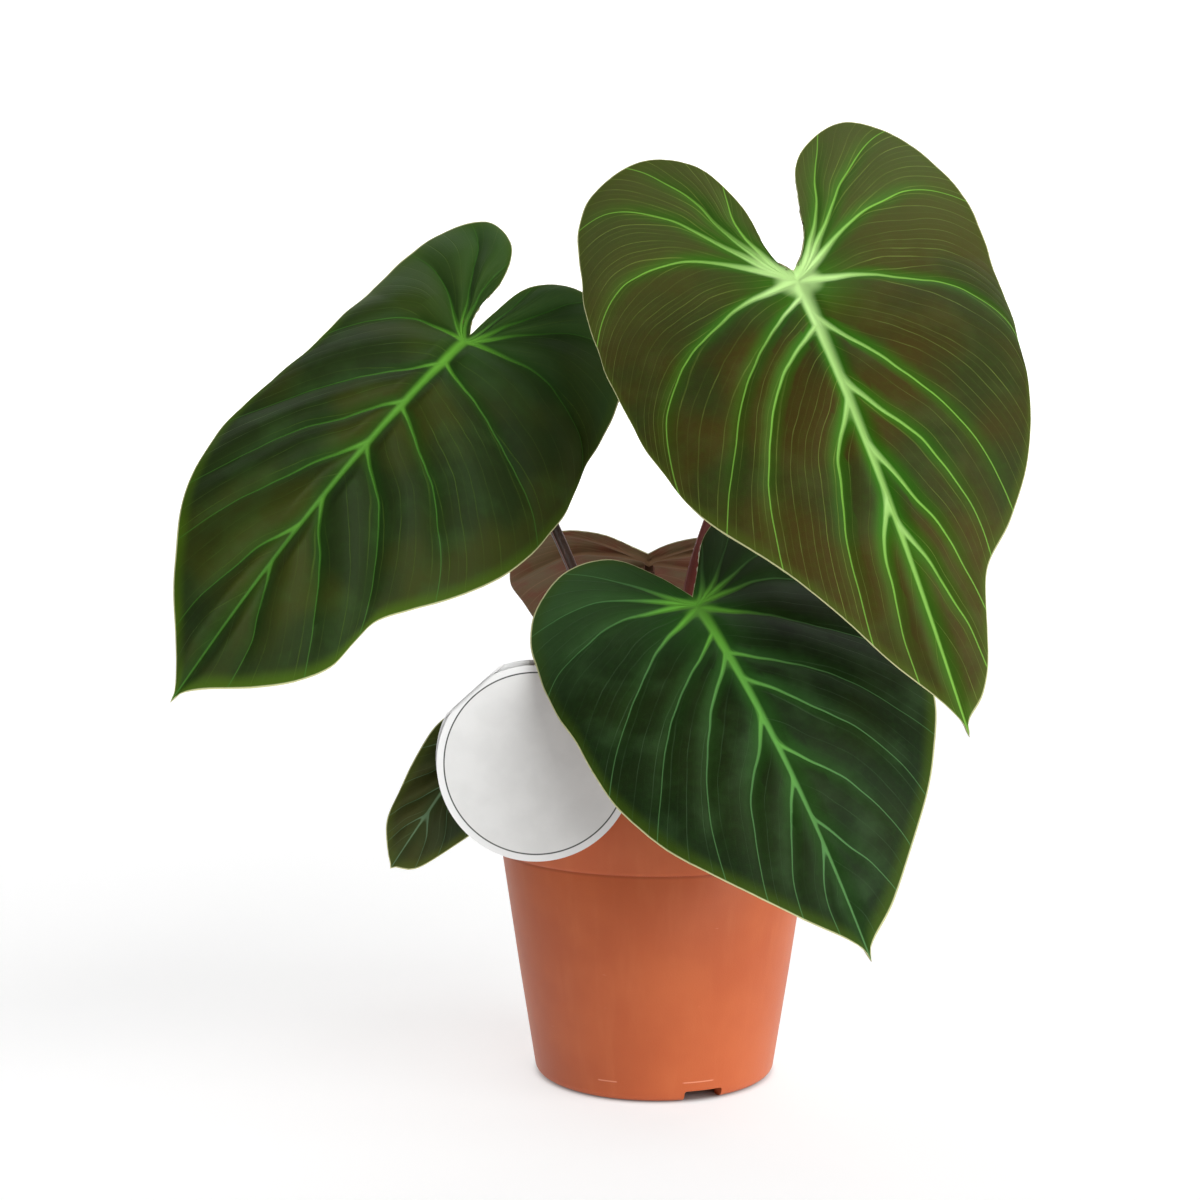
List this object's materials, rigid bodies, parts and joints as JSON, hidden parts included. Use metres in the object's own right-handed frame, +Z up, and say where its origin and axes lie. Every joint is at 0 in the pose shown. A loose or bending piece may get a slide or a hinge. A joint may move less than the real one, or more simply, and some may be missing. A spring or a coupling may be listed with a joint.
{
  "type": "potted velvet-leaved philodendron",
  "caption": "Young aroid house plant with heart-shaped velvety leaves on arching petioles, in a tapered plastic nursery pot with a folded round tag.",
  "frame": {"origin": "middle of the pot's underside, on the flat centre pad that is level with the foot ring", "axes": "+Z up, -Y towards the viewer of the plant's front, +X to the viewer's right"},
  "size_m": [0.3027, 0.2671, 0.3656],
  "materials": {
    "pot_plastic": "satin moulded terracotta-coloured plastic",
    "growing_medium": "moist crumbly peat and bark",
    "stem_skin": "smooth green-brown stem with ring scars",
    "petiole_skin": "satin maroon stalk with pale edges",
    "leaf_bronze": "velvety bronze-green with bright veins and a brown-red underside",
    "leaf_green": "velvety deep green with green veins and a brown-red underside",
    "tag_card": "uncoated pale card"
  },
  "bodies": {
    "root": {"pot": "pot_plastic", "soil": "growing_medium", "stem": "stem_skin", "petiole_large_right": "petiole_skin", "petiole_large_left": "petiole_skin", "petiole_front": "petiole_skin", "petiole_back": "petiole_skin", "petiole_small_low": "petiole_skin", "leaf_large_right": "leaf_bronze", "leaf_large_left": "leaf_green", "leaf_front": "leaf_green", "leaf_back": "leaf_green", "leaf_small_low": "leaf_green", "tag": "tag_card"}
  },
  "joints": []
}
